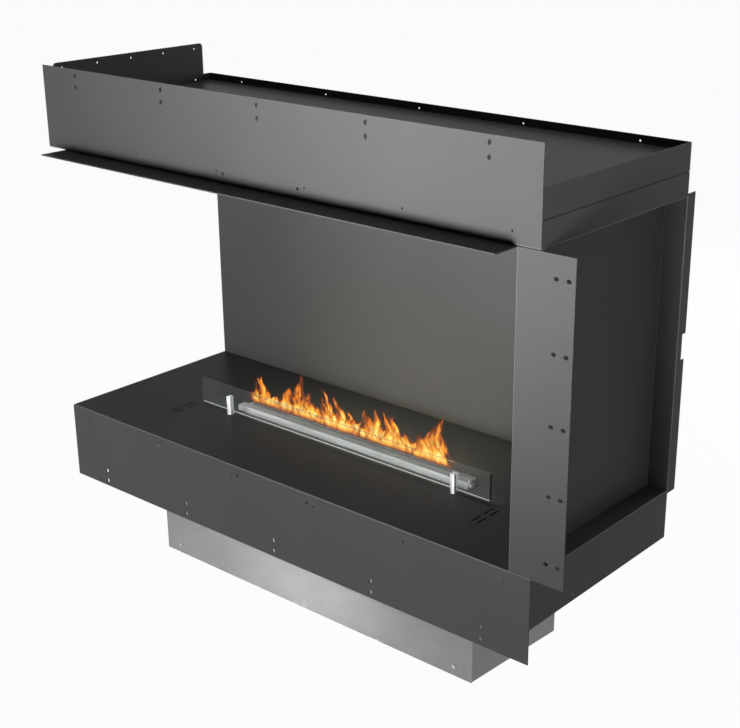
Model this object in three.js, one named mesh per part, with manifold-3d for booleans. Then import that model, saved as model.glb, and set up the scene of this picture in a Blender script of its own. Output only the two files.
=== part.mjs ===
// Built-in corner fireplace: a folded sheet-steel casing that is open at the front and on the
// left, a slim burner with a turning flame damper, a glass wind shield held in two slotted posts,
// and a burner housing that hangs below the hearth.
//
// Millimetres, +Z up. Inside this file the casing frame has X = 0 at the left side, Y = 0 at the
// front face and Z = 0 at the lower edge of the front skirt. The whole model is then moved so
// that the exported origin is the middle of its footprint, on the housing's underside.
import * as THREE from 'three';
import { mergeVertices } from 'three/addons/utils/BufferGeometryUtils.js';
import Module from 'manifold-3d';

const wasm = await Module();
wasm.setup();

// ---------------------------------------------------------------- casing
const sheet = 2; // steel thickness of the casing
const bendRadius = 3; // outside radius of every folded edge
const casingWidth = 1200;
const casingDepth = 440;
const openingHeight = 557; // hearth to ceiling
const flangeHeight = 163; // skirt below the hearth, and upstand above the ceiling
const trayHeight = 96.5; // folded walls of the hearth tray, and ceiling tray up to the rim
const seamHeight = 45; // wall of the ceiling tray, up to the seam with the roof tray
const seamGroove = 1.5; // open joint along that seam, in the outer half of the sheet
const rimDepth = 15; // the roof plate lies this far below the rim
const roofLip = 20; // fold of the roof plate behind the front and left panels
const seatGap = 0.3; // clearance between pieces that slip into each other

// flanges of the open left side
const sideFlangeFrontGap = 24;
const sideFlangeRearGap = 22;
const sideFlangeCorner = 8;

// closed right side
const sideWallInset = 45; // channel between the side wall and the casing's right face
const sideFlangeReach = 64; // front flange beyond the casing's right face
const sideWallTopGap = 0.5;

// back wall
const backFlangeDepth = 26;
const backWallLap = 6; // the back wall laps the trays by this much, above and below
const backNotchHeight = 50;
const backNotchDepth = 11;
const backHoleSpacing = 100;
const backHoleEdge = 5;

// ceiling plate
const ceilingLip = 54; // how far the ceiling plate stands out in front of the casing
const ceilingPlateInset = 45;
const dimpleHeight = 1; // pressed spacers between the ceiling plate and the ceiling tray
const dimpleRadius = 12;
const dimpleMargin = 90;

// mounting slots and holes
const slotWidth = 6.5;
const slotLength = 9;
const slotPairPitch = 23;
const slotEdge = 12; // outer slot of each pair to the flange edge
const slotPitch = 250;
const slotEndMargin = 60; // least distance of a pair from the end of the casing
const sideSlotPitch = 120;
const sideSlotEndMargin = 30;
const foldHoleRadius = 2;
const foldHoleOffset = 21.7;
const foldHoleMargin = 54;
const foldHoleCount = 6;
const levelHoleRadius = 3;
const levelHoleOffset = 18.5;
const levelHoleSpacing = 186;
const edgeHoleRadius = 2.2;
const edgeHoleOffset = 10.5;
const edgeHoleMargin = 45.3;
const edgeHoleCount = 5;

// air slots in the hearth
const airSlotLength = 28.5;
const airSlotWidth = 4;
const airSlotColumnPitch = 13;
const airSlotRowGap = 9;
const airSlotSideMargin = 197; // from the casing's side to the middle of each group
const airSlotsFromFront = 139.5;

// ---------------------------------------------------------------- burner housing
const housingSheet = 1.5;
const housingSideMargin = 183; // from the casing's side to the housing's front corner
const housingWidth = casingWidth - 2 * housingSideMargin; // at the front
const housingFlare = 13; // each side widens by this much towards the back
const housingDepth = 250;
const housingFromFront = 86;
const housingDrop = 154; // below the skirt
const housingTab = 22; // folded tabs of the housing sides
const housingScrewMargin = 39.5;
const housingScrewCount = 3;
const housingScrewHeight = 18.5;
const housingCoverOverhang = 1.5; // the front cover stands out at both sides by this much

// ---------------------------------------------------------------- burner
const burnerSheet = 1.5;
const burnerSideMargin = 117; // from the housing's front corner to the end of the bar
const burnerLength = housingWidth - 2 * burnerSideMargin;
const burnerOffset = 12.5; // the burner bar lies a little right of the middle
const burnerFromFront = 205.5;
const burnerRise = 14; // top of the bar above the hearth
const burnerLipDepth = 19;
const flameSlotWidth = 7;
const burnerSkirt = 13; // walls of the bar below the hearth
const burnerEndBlock = 15;
const burnerCutClearance = 0.6;
const tankEndMargin = 6; // the bar is longer than the tank by this much at each end
const tankLength = burnerLength - 2 * tankEndMargin;
const tankDepth = 60;
const tankHeight = 58;
const tankMouthWidth = 17;
const tankMouthEnd = 4.5; // the mouth stops this far from the tank's ends
const wickWidth = 13;
const wickEndGap = 1.5;
const wickHeight = 30;
const railWidth = 24;
const railHeight = 18;
const railEndMargin = 120; // from the end of the bar to the middle of the rail

// flame damper
const damperShaftRadius = 2.5;
const damperShaftFromFront = 10.5; // behind the bar's front face
const damperShaftBelowTop = 8.5;
const damperBladeWidth = 13.5;
const damperBladeThickness = 1.2;
const damperBearingClearance = 0.3;
const damperBladeEndGap = 1;
const leverLength = 30;
const leverWidth = 4.5;
const leverThickness = 2;
const leverHubRadius = 5.5;
const leverTilt = 37; // degrees from upright
const leverGap = 1;
const leverSweepClearance = 4; // free space in the hearth beyond the lever
const leverBoreClearance = 0.1;

// glass and its posts
const glassThickness = 6;
const glassSideMargin = 216; // from the casing's side to the end of the glass
const glassLength = casingWidth - 2 * glassSideMargin;
const glassHeight = 54.5;
const glassLift = 8.3; // lower edge above the hearth
const glassFromFront = 176.5;
const postRadius = 7.5;
const postHeight = 39.5;
const postSpacing = burnerLength;
const postScrewRadius = 2.5;
const postScrewDepth = 6;
const postChamfer = 0.6;

const screwHeadRadius = 4.2;
const screwHeadHeight = 2.4;
const screwShankRadius = 1.9;
const screwShankLength = 8;
const screwHoleRadius = 2.2;
const screwDriveRadius = 1.3;
const screwDriveDepth = 1.2;
const screwRimShare = 0.45; // height of the head's straight rim
const screwShoulderShare = 0.85; // height of the shoulder between rim and crown
const screwShoulderRadius = 0.8; // as a share of the head's radius
const screwCrownRadius = 0.45; // as a share of the head's radius

// ---------------------------------------------------------------- levels and planes
const hearthTop = flangeHeight;
const hearthUnder = hearthTop - sheet;
const hearthWallBottom = hearthTop - trayHeight;
const ceilingUnder = hearthTop + openingHeight;
const casingTop = ceilingUnder + flangeHeight;
const seamLevel = ceilingUnder + seamHeight;
const rimTop = ceilingUnder + trayHeight;
const roofTop = rimTop - rimDepth;
const sideWallInner = casingWidth - sideWallInset;
const housingBottom = -housingDrop;
const housingFront = housingFromFront;
const housingBack = housingFromFront + housingDepth;
const housingMiddle = casingWidth / 2;

// ---------------------------------------------------------------- materials
const finish = (color, roughness, metalness, more) => () => new THREE.MeshStandardMaterial({
  color, roughness, metalness, ...more,
});
const blackSteel = finish(0x535455, 0.45, 0.0);
const brushedSteel = finish(0xb9bcbe, 0.34, 0.95);
const galvanised = finish(0xa4a8ab, 0.42, 0.9);
const chrome = finish(0xe4e6e8, 0.08, 1);
const zincScrew = finish(0x9a9d9f, 0.4, 0.9);
const ceramicFibre = finish(0xe9e4d8, 0.95, 0);
const clearGlass = finish(0xdfe9e6, 0.04, 0, { transparent: true, opacity: 0.35 });

// ---------------------------------------------------------------- solids
const curveSteps = 5; // straight steps in each quarter or half round
const smallHoleSteps = 4; // in half a small hole
const screwHoleSteps = 6; // in half a screw hole
const boreSteps = 8; // in half a bearing bore, a shaft or a pressed spacer
const hubSteps = 10; // in half the lever's hub
const driveSteps = 3; // in half a screw's hexagonal drive
const postSides = 24;
const screwSides = 16;
const weldDistance = 1e-4;

function solidOf(geometry) {
  const bare = geometry.index ? geometry.toNonIndexed() : geometry.clone();
  bare.deleteAttribute('normal');
  bare.deleteAttribute('uv');
  const merged = mergeVertices(bare, weldDistance);
  return new wasm.Manifold(new wasm.Mesh({
    numProp: 3,
    vertProperties: new Float32Array(merged.attributes.position.array),
    triVerts: new Uint32Array(merged.index.array),
  }));
}

function geometryOf(solid) {
  const mesh = solid.getMesh();
  const geometry = new THREE.BufferGeometry();
  geometry.setAttribute('position', new THREE.BufferAttribute(new Float32Array(mesh.vertProperties), 3));
  geometry.setIndex(new THREE.BufferAttribute(new Uint32Array(mesh.triVerts), 1));
  geometry.computeVertexNormals();
  return geometry;
}

const joined = (first, ...others) => others.reduce((sum, next) => sum.add(next), first);
const cutBy = (first, ...others) => others.reduce((left, next) => left.subtract(next), first);

function extruded(shape, length, steps = curveSteps) {
  return new THREE.ExtrudeGeometry(shape, { depth: length, bevelEnabled: false, curveSegments: steps });
}

// An outline drawn in X and Y, raised from z0 to z1.
function alongZ(shape, z0, z1, steps) {
  return solidOf(extruded(shape, z1 - z0, steps).translate(0, 0, z0));
}

// An outline drawn in X and Z, running from y0 to y1.
function alongY(shape, y0, y1, steps) {
  return solidOf(extruded(shape, y1 - y0, steps).rotateX(Math.PI / 2).translate(0, y1, 0));
}

// An outline drawn in Y and Z, running from x0 to x1.
function alongX(shape, x0, x1, steps) {
  const turn = new THREE.Matrix4().makeBasis(
    new THREE.Vector3(0, 1, 0), new THREE.Vector3(0, 0, 1), new THREE.Vector3(1, 0, 0));
  return solidOf(extruded(shape, x1 - x0, steps).applyMatrix4(turn).translate(x0, 0, 0));
}

function rectangle(a0, b0, a1, b1) {
  const shape = new THREE.Shape();
  shape.moveTo(a0, b0).lineTo(a1, b0).lineTo(a1, b1).lineTo(a0, b1);
  return shape;
}

const block = (x0, y0, z0, x1, y1, z1) => alongZ(rectangle(x0, y0, x1, y1), z0, z1);

// A round hole, or a slot whose length runs along the first or the second axis of its plane.
function slotShape(a, b, width, length = width, along = 'second') {
  const reach = Math.max(0, (length - width) / 2);
  const r = width / 2;
  const shape = new THREE.Shape();
  if (along === 'first') {
    shape.absarc(a + reach, b, r, -Math.PI / 2, Math.PI / 2, false);
    shape.absarc(a - reach, b, r, Math.PI / 2, Math.PI * 1.5, false);
  } else {
    shape.absarc(a, b + reach, r, 0, Math.PI, false);
    shape.absarc(a, b - reach, r, Math.PI, Math.PI * 2, false);
  }
  return shape;
}

// A rectangle whose two corners at the second-axis value b0 are folded round.
function foldedSection(a0, a1, b0, b1, radius) {
  const way = Math.sign(b1 - b0);
  const shape = new THREE.Shape();
  shape.moveTo(a0, b1).lineTo(a0, b0 + way * radius);
  shape.absarc(a0 + radius, b0 + way * radius, radius, Math.PI, Math.PI + way * Math.PI / 2, way < 0);
  shape.absarc(a1 - radius, b0 + way * radius, radius, -way * Math.PI / 2, 0, way < 0);
  shape.lineTo(a1, b1);
  return shape;
}

// A tray folded from one blank: a flat sheet at level, and four walls that rise by height, which
// is negative where they hang down.
function foldedTray(level, height) {
  const way = Math.sign(height);
  const outside = alongX(foldedSection(0, casingDepth, level, level + height, bendRadius), 0, casingWidth)
    .intersect(alongY(foldedSection(0, casingWidth, level, level + height, bendRadius), 0, casingDepth));
  const inner = bendRadius - sheet;
  const floor = level + way * sheet;
  const brim = level + height + way * sheet;
  const inside = alongX(foldedSection(sheet, casingDepth - sheet, floor, brim, inner), 0, casingWidth)
    .intersect(alongY(foldedSection(sheet, casingWidth - sheet, floor, brim, inner), 0, casingDepth));
  return outside.subtract(inside);
}

// Closed outline of a bent strip of sheet. The path is one face of the sheet, and the sheet lies
// on its left side when side is 1, or on its right side when side is -1.
function bentStrip(path, thickness, outerRadius, side) {
  const points = path.map(([a, b]) => new THREE.Vector2(a, b));
  const left = (v) => new THREE.Vector2(-v.y, v.x);
  const near = [points[0].clone()];
  const far = [];
  const first = points[1].clone().sub(points[0]).normalize();
  far.push(points[0].clone().addScaledVector(left(first), side * thickness));
  for (let i = 1; i < points.length - 1; i += 1) {
    const before = points[i].clone().sub(points[i - 1]).normalize();
    const after = points[i + 1].clone().sub(points[i]).normalize();
    const turn = Math.sign(before.x * after.y - before.y * after.x);
    const radiusNear = turn === side ? outerRadius : outerRadius - thickness;
    const radiusFar = turn === side ? outerRadius - thickness : outerRadius;
    const centre = points[i].clone()
      .addScaledVector(before, -radiusNear)
      .addScaledVector(left(before), turn * radiusNear);
    const start = left(before).multiplyScalar(-turn);
    for (let step = 0; step <= curveSteps; step += 1) {
      const angle = turn * (Math.PI / 2) * (step / curveSteps);
      const spoke = start.clone().rotateAround(new THREE.Vector2(), angle);
      near.push(centre.clone().addScaledVector(spoke, radiusNear));
      far.push(centre.clone().addScaledVector(spoke, radiusFar));
    }
  }
  const end = points[points.length - 1];
  const last = end.clone().sub(points[points.length - 2]).normalize();
  near.push(end.clone());
  far.push(end.clone().addScaledVector(left(last), side * thickness));
  return new THREE.Shape([...near, ...far.reverse()]);
}

// ---------------------------------------------------------------- hole patterns
function pitched(length, pitch, endMargin) {
  const count = Math.floor((length - 2 * endMargin) / pitch) + 1;
  const start = (length - (count - 1) * pitch) / 2;
  return Array.from({ length: count }, (_, i) => start + i * pitch);
}

function spread(length, margin, count) {
  return Array.from({ length: count }, (_, i) => margin + (i * (length - 2 * margin)) / (count - 1));
}

const pairStations = pitched(casingWidth, slotPitch, slotEndMargin);
const foldStations = spread(casingWidth, foldHoleMargin, foldHoleCount);
const sideStations = spread(casingDepth, edgeHoleMargin, edgeHoleCount);
const levelStations = [-1, 1].map((side) => (casingWidth + side * levelHoleSpacing) / 2);

// Cutters for the front face of a flange that runs from its fold to its free edge.
function frontCutters(fold, edge) {
  const way = Math.sign(edge - fold);
  const y0 = -sheet;
  const y1 = 2 * sheet;
  const cutters = [];
  for (const x of pairStations) {
    for (const inward of [slotEdge, slotEdge + slotPairPitch]) {
      cutters.push(alongY(slotShape(x, edge - way * inward, slotWidth, slotLength), y0, y1));
    }
  }
  for (const x of foldStations) {
    cutters.push(alongY(slotShape(x, fold + way * foldHoleOffset, 2 * foldHoleRadius), y0, y1,
      smallHoleSteps));
  }
  for (const x of levelStations) {
    cutters.push(alongY(slotShape(x, fold + way * levelHoleOffset, 2 * levelHoleRadius), y0, y1));
  }
  return cutters;
}

// Round holes in a row along X through the back wall of a tray, or along Y through a side wall.
function backRow(z) {
  return pairStations.map((x) => alongY(slotShape(x, z, 2 * edgeHoleRadius),
    casingDepth - 2 * sheet, casingDepth + sheet, smallHoleSteps));
}

function sideRow(z, x) {
  return sideStations.map((y) => alongX(slotShape(y, z, 2 * edgeHoleRadius),
    x - sheet, x + 2 * sheet, smallHoleSteps));
}

// ---------------------------------------------------------------- casing pieces
// Upright flange of the open left side, from its fold to its free edge.
function leftFlange(fold, edge) {
  const y0 = sideFlangeFrontGap;
  const y1 = casingDepth - sideFlangeRearGap;
  const way = Math.sign(edge - fold);
  const r = sideFlangeCorner;
  const shape = new THREE.Shape();
  shape.moveTo(y0, fold).lineTo(y0, edge - way * r);
  shape.absarc(y0 + r, edge - way * r, r, Math.PI, way * Math.PI / 2, way > 0);
  shape.absarc(y1 - r, edge - way * r, r, way * Math.PI / 2, 0, way > 0);
  shape.lineTo(y1, fold);
  return alongX(shape, 0, sheet);
}

// Hearth tray: hearth plate, four hanging walls, front skirt and left skirt in one folded blank.
function hearthTray(burner) {
  const skirtRoot = hearthWallBottom + bendRadius;
  const tray = joined(
    foldedTray(hearthTop, -trayHeight),
    block(0, 0, 0, casingWidth, sheet, skirtRoot),
    leftFlange(skirtRoot, 0),
  );
  const cutters = [
    ...frontCutters(hearthTop, 0),
    ...backRow(hearthWallBottom + edgeHoleOffset),
    ...sideRow(hearthWallBottom + edgeHoleOffset, casingWidth - sheet),
    ...sideRow(edgeHoleOffset, 0),
  ];
  for (const side of [-1, 1]) {
    for (const column of [-0.5, 0.5]) {
      for (const row of [-0.5, 0.5]) {
        const group = casingWidth / 2 + side * (casingWidth / 2 - airSlotSideMargin);
        const x = group + column * airSlotColumnPitch;
        const y = airSlotsFromFront + row * (airSlotLength + airSlotRowGap);
        cutters.push(alongZ(slotShape(x, y, airSlotWidth, airSlotLength),
          hearthUnder - sheet, hearthTop + sheet, smallHoleSteps));
      }
    }
  }
  for (const x of postStations) {
    cutters.push(alongZ(slotShape(x, postY, 2 * (postScrewRadius + seatGap)),
      hearthUnder - sheet, hearthTop + sheet, screwHoleSteps));
  }
  cutters.push(block(burner.cut.x0, burner.cut.y0, hearthUnder - sheet,
    burner.cut.x1, burner.cut.y1, hearthTop + sheet));
  return cutBy(tray, ...cutters);
}

// Ceiling tray: the hearth tray's counterpart, with its walls and flanges turned up.
function ceilingTray() {
  const root = ceilingUnder + bendRadius;
  const tray = joined(
    foldedTray(ceilingUnder, seamHeight),
    block(0, 0, root, casingWidth, sheet, casingTop),
    block(0, 0, root, sheet, casingDepth, rimTop),
    leftFlange(root, casingTop),
  );
  return cutBy(
    tray,
    ...frontCutters(ceilingUnder, casingTop),
    ...sideRow(casingTop - edgeHoleOffset, 0),
    ...sideRow(rimTop - edgeHoleOffset, 0),
  );
}

// Roof tray: the recessed top plate with a rim on the right and at the back that stands on the
// walls of the ceiling tray, and two folds behind the front and left panels.
function roofTray() {
  const x0 = sheet + seatGap;
  const y0 = sheet + seatGap;
  const plate = joined(
    block(x0, y0, roofTop - sheet, casingWidth, casingDepth, roofTop),
    block(casingWidth - sheet, y0, seamLevel, casingWidth, casingDepth, rimTop),
    block(x0, casingDepth - sheet, seamLevel, casingWidth, casingDepth, rimTop),
    block(x0, y0, roofTop - roofLip, casingWidth, y0 + sheet, roofTop),
    block(x0, y0, roofTop - roofLip, x0 + sheet, casingDepth, roofTop),
  );
  const grooves = [
    block(casingWidth - sheet / 2, 0, seamLevel, casingWidth + sheet, casingDepth, seamLevel + seamGroove),
    block(0, casingDepth - sheet / 2, seamLevel, casingWidth + sheet, casingDepth + sheet,
      seamLevel + seamGroove),
  ];
  return cutBy(plate, ...backRow(rimTop - edgeHoleOffset), ...grooves);
}

// Ceiling plate: heat plate under the ceiling tray, with pressed spacers and a lip in front.
function ceilingPlate() {
  const top = ceilingUnder - dimpleHeight;
  const x0 = ceilingPlateInset;
  const x1 = sideWallInner - seatGap;
  const y1 = casingDepth - seatGap;
  const plate = block(x0, -ceilingLip, top - sheet, x1, y1, top);
  const dimples = [];
  for (const x of [x0 + dimpleMargin, (x0 + x1) / 2, x1 - dimpleMargin]) {
    for (const y of [dimpleMargin, y1 - dimpleMargin]) {
      dimples.push(alongZ(slotShape(x, y, 2 * dimpleRadius), top - sheet / 2, ceilingUnder, boreSteps));
    }
  }
  return joined(plate, ...dimples);
}

// Right side wall: front mounting flange, inset web and rear return, folded from one strip.
function rightSideWall() {
  const outer = casingWidth + sideFlangeReach;
  const strip = bentStrip([
    [outer, 0],
    [sideWallInner, 0],
    [sideWallInner, casingDepth],
    [casingWidth - 2 * sheet, casingDepth],
  ], sheet, bendRadius, -1);
  const wall = alongZ(strip, hearthTop, ceilingUnder - sideWallTopGap);
  const cutters = [];
  for (const rise of pitched(openingHeight, sideSlotPitch, sideSlotEndMargin)) {
    for (const inward of [slotEdge, slotEdge + slotPairPitch]) {
      cutters.push(alongY(slotShape(outer - inward, hearthTop + rise, slotWidth, slotLength, 'first'),
        -sheet, 2 * sheet));
    }
  }
  return cutBy(wall, ...cutters);
}

// Back wall: one sheet behind the trays, its two ends folded back into mounting flanges that are
// notched and drilled at mid height.
function backWall() {
  const rear = casingDepth + backFlangeDepth;
  const strip = bentStrip([
    [0, rear],
    [0, casingDepth],
    [casingWidth, casingDepth],
    [casingWidth, rear],
  ], sheet, bendRadius, 1);
  const wall = alongZ(strip, hearthTop - backWallLap, ceilingUnder + backWallLap);
  const middle = (hearthTop + ceilingUnder) / 2;
  const cutters = [
    block(-sheet, rear - backNotchDepth, middle - backNotchHeight / 2,
      casingWidth + sheet, rear + sheet, middle + backNotchHeight / 2),
  ];
  for (const side of [-1, 1]) {
    cutters.push(alongX(
      slotShape(rear - backHoleEdge, middle + side * (backHoleSpacing / 2), 2 * edgeHoleRadius),
      -sheet, casingWidth + sheet, smallHoleSteps));
  }
  return cutBy(wall, ...cutters);
}

// ---------------------------------------------------------------- burner layout
const burnerX0 = casingWidth / 2 + burnerOffset - burnerLength / 2;
const burnerX1 = burnerX0 + burnerLength;
const burnerY0 = burnerFromFront;
const slotY0 = burnerY0 + burnerLipDepth;
const slotY1 = slotY0 + flameSlotWidth;
const burnerY1 = slotY1 + burnerSheet;
const burnerMiddle = (burnerY0 + burnerY1) / 2;
const burnerTop = hearthTop + burnerRise;
const burnerBottom = hearthTop - burnerSkirt;
const shaftY = burnerY0 + damperShaftFromFront;
const shaftZ = burnerTop - damperShaftBelowTop;
const leverX0 = burnerX1 + leverGap;
const leverReach = leverLength / 2;
const burnerCut = {
  x0: burnerX0 - burnerEndBlock - burnerCutClearance,
  x1: leverX0 + leverThickness + leverSweepClearance,
  y0: Math.min(burnerY0, shaftY - leverReach) - burnerCutClearance,
  y1: Math.max(burnerY1, shaftY + leverReach) + burnerCutClearance,
};
const postY = glassFromFront + glassThickness / 2;
const postStations = [-1, 1].map((side) => (casingWidth + side * postSpacing) / 2);

// Burner bar: brushed channel with a wide front lip and the flame slot behind it. Its end walls
// carry the damper shaft, and a bearing block closes the left end.
function burnerBody() {
  const t = burnerSheet;
  const blockX0 = burnerX0 - burnerEndBlock;
  const channel = joined(
    block(burnerX0, burnerY0, burnerBottom, burnerX1, burnerY0 + t, burnerTop),
    block(burnerX0, burnerY0, burnerTop - t, burnerX1, slotY0, burnerTop),
    block(burnerX0, slotY1, burnerBottom, burnerX1, burnerY1, burnerTop),
    block(burnerX0, burnerY0, burnerBottom, burnerX0 + t, burnerY1, burnerTop),
    block(burnerX1 - t, burnerY0, burnerBottom, burnerX1, burnerY1, burnerTop),
    block(blockX0, burnerY0, hearthTop, burnerX0 + t, burnerY0 + burnerLipDepth, burnerTop - t),
  );
  const bearing = slotShape(shaftY, shaftZ, 2 * (damperShaftRadius + damperBearingClearance));
  return cutBy(channel, alongX(bearing, blockX0 + t, burnerX1 + t, boreSteps));
}

// Damper: a round shaft with a blade that hangs clear of the flame slot and turns up under it.
function damperShaft() {
  const x0 = burnerX0 - burnerEndBlock + burnerSheet + seatGap;
  const x1 = leverX0 + leverThickness;
  const shaft = alongX(slotShape(shaftY, shaftZ, 2 * damperShaftRadius), x0, x1, boreSteps);
  const blade = block(
    burnerX0 + burnerSheet + damperBladeEndGap, shaftY - damperBladeThickness / 2,
    shaftZ - damperBladeWidth,
    burnerX1 - burnerSheet - damperBladeEndGap, shaftY + damperBladeThickness / 2,
    shaftZ,
  );
  return joined(shaft, blade);
}

// Lever on the shaft's right end: a hub with two narrow arms.
function damperLever() {
  const arm = slotShape(0, 0, leverWidth, leverLength);
  const hub = slotShape(0, 0, 2 * leverHubRadius);
  const bore = slotShape(0, 0, 2 * (damperShaftRadius + leverBoreClearance));
  const lever = joined(
    alongX(arm, 0, leverThickness, screwHoleSteps),
    alongX(hub, 0, leverThickness, hubSteps),
  ).subtract(alongX(bore, -leverThickness, 2 * leverThickness, boreSteps));
  return lever;
}

// Fuel tank below the bar, with a long mouth for the wick.
function fuelTank() {
  const x0 = (burnerX0 + burnerX1 - tankLength) / 2;
  const x1 = x0 + tankLength;
  const y0 = burnerMiddle - tankDepth / 2;
  const y1 = burnerMiddle + tankDepth / 2;
  const z1 = burnerBottom;
  const z0 = z1 - tankHeight;
  const t = burnerSheet;
  return cutBy(
    block(x0, y0, z0, x1, y1, z1),
    block(x0 + t, y0 + t, z0 + t, x1 - t, y1 - t, z1 - t),
    block(x0 + tankMouthEnd, burnerMiddle - tankMouthWidth / 2, z1 - 2 * t,
      x1 - tankMouthEnd, burnerMiddle + tankMouthWidth / 2, z1 + t),
  );
}

// Ceramic fibre wick that stands on the tank's floor, under its mouth.
function ceramicWick() {
  const length = tankLength - 2 * (tankMouthEnd + wickEndGap);
  const x0 = (burnerX0 + burnerX1 - length) / 2;
  const z0 = burnerBottom - tankHeight + burnerSheet;
  return block(x0, burnerMiddle - wickWidth / 2, z0,
    x0 + length, burnerMiddle + wickWidth / 2, z0 + wickHeight);
}

// Rail across the housing that carries the tank.
function burnerRail(side) {
  const top = burnerBottom - tankHeight;
  const x = side < 0 ? burnerX0 + railEndMargin : burnerX1 - railEndMargin;
  const y0 = housingFront + housingSheet;
  const y1 = housingBack - housingSheet;
  const strip = bentStrip([
    [x - railWidth / 2, top - railHeight],
    [x - railWidth / 2, top],
    [x + railWidth / 2, top],
    [x + railWidth / 2, top - railHeight],
  ], housingSheet, bendRadius, -1);
  return alongY(strip, y0, y1);
}

// ---------------------------------------------------------------- glass and posts
function glassShield() {
  const x0 = (casingWidth - glassLength) / 2;
  const z0 = hearthTop + glassLift;
  return block(x0, glassFromFront, z0, x0 + glassLength, glassFromFront + glassThickness, z0 + glassHeight);
}

// Round post with a slot that holds the glass, and a blind hole for its screw.
function glassPost() {
  const r = postRadius;
  const c = postChamfer;
  const profile = [
    new THREE.Vector2(0, 0),
    new THREE.Vector2(r, 0),
    new THREE.Vector2(r, postHeight - c),
    new THREE.Vector2(r - c, postHeight),
    new THREE.Vector2(0, postHeight),
  ];
  const turned = solidOf(new THREE.LatheGeometry(profile, postSides).rotateX(Math.PI / 2));
  const slot = block(-2 * r, -glassThickness / 2 - seatGap, glassLift - seatGap,
    2 * r, glassThickness / 2 + seatGap, postHeight + c);
  const tapped = alongZ(slotShape(0, 0, 2 * (postScrewRadius + seatGap)), -c, postScrewDepth,
    screwHoleSteps);
  return cutBy(turned, slot, tapped);
}

function roundScrew(headRadius, headHeight, shankRadius, shankLength) {
  const profile = [
    new THREE.Vector2(0, -shankLength),
    new THREE.Vector2(shankRadius, -shankLength),
    new THREE.Vector2(shankRadius, 0),
    new THREE.Vector2(headRadius, 0),
    new THREE.Vector2(headRadius, headHeight * screwRimShare),
    new THREE.Vector2(headRadius * screwShoulderRadius, headHeight * screwShoulderShare),
    new THREE.Vector2(headRadius * screwCrownRadius, headHeight),
    new THREE.Vector2(0, headHeight),
  ];
  const body = solidOf(new THREE.LatheGeometry(profile, screwSides).rotateX(Math.PI / 2));
  const drive = alongZ(slotShape(0, 0, 2 * screwDriveRadius),
    headHeight - screwDriveDepth, 2 * headHeight, driveSteps);
  return body.subtract(drive);
}

// ---------------------------------------------------------------- burner housing
const housingLeft = housingMiddle - housingWidth / 2;
const housingRight = housingMiddle + housingWidth / 2;
const screwStations = spread(housingWidth, housingScrewMargin, housingScrewCount).map((x) => housingLeft + x);
const housingScrewZ = housingBottom + housingScrewHeight;

function housingFrontCover() {
  const plate = alongY(
    rectangle(housingLeft - housingCoverOverhang, housingBottom,
      housingRight + housingCoverOverhang, hearthUnder),
    housingFront, housingFront + housingSheet);
  const holes = screwStations.map((x) => alongY(slotShape(x, housingScrewZ, 2 * screwHoleRadius),
    housingFront - sheet, housingFront + 2 * sheet, screwHoleSteps));
  return cutBy(plate, ...holes);
}

// Slanting side of the housing, side -1 on the left and 1 on the right, with a tab folded
// inwards behind the front cover and another in front of the back plate.
function housingSide(side) {
  const t = housingSheet;
  const edge = housingMiddle + side * (housingWidth / 2);
  const x = (y) => edge + side * housingFlare * ((y - housingFront) / housingDepth);
  const y0 = housingFront + t;
  const y1 = housingBack - t;
  const shape = new THREE.Shape();
  const inward = -side;
  shape.moveTo(x(y0) + inward * housingTab, y0);
  shape.lineTo(x(y0), y0).lineTo(x(y1), y1).lineTo(x(y1) + inward * housingTab, y1);
  shape.lineTo(x(y1) + inward * housingTab, y1 - t).lineTo(x(y1 - t) + inward * t, y1 - t);
  shape.lineTo(x(y0 + t) + inward * t, y0 + t).lineTo(x(y0) + inward * housingTab, y0 + t);
  const wall = alongZ(shape, housingBottom + t, hearthUnder);
  const nearest = side < 0 ? screwStations[0] : screwStations[screwStations.length - 1];
  const hole = slotShape(nearest, housingScrewZ, 2 * screwHoleRadius);
  return wall.subtract(alongY(hole, y0 - t, y0 + 2 * t, screwHoleSteps));
}

function housingBackPlate() {
  const reach = housingWidth / 2 + housingFlare;
  return alongY(rectangle(housingMiddle - reach, housingBottom, housingMiddle + reach, hearthUnder),
    housingBack - housingSheet, housingBack);
}

function housingBottomPlate() {
  const t = housingSheet;
  const x = (y) => housingWidth / 2 + housingFlare * ((y - housingFront) / housingDepth);
  const y0 = housingFront + t;
  const y1 = housingBack - t;
  const outline = new THREE.Shape();
  outline.moveTo(housingMiddle - x(y0), y0).lineTo(housingMiddle + x(y0), y0);
  outline.lineTo(housingMiddle + x(y1), y1).lineTo(housingMiddle - x(y1), y1);
  const plate = alongZ(outline, housingBottom, housingBottom + t);
  const tab = block(housingMiddle - housingTab, y0, housingBottom,
    housingMiddle + housingTab, y0 + t, housingBottom + 2 * housingScrewHeight);
  const hole = slotShape(housingMiddle, housingScrewZ, 2 * screwHoleRadius);
  return joined(plate, tab).subtract(alongY(hole, y0 - t, y0 + 2 * t, screwHoleSteps));
}

// ---------------------------------------------------------------- assembly
const casing = new THREE.Group();

function add(name, solid, material, parent = casing) {
  const mesh = new THREE.Mesh(geometryOf(solid), material);
  mesh.name = name;
  parent.add(mesh);
  return mesh;
}

add('hearth_tray', hearthTray({ cut: burnerCut }), blackSteel());
add('ceiling_tray', ceilingTray(), blackSteel());
add('roof_tray', roofTray(), blackSteel());
add('ceiling_plate', ceilingPlate(), blackSteel());
add('right_side_wall', rightSideWall(), blackSteel());
add('back_wall', backWall(), blackSteel());

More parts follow.
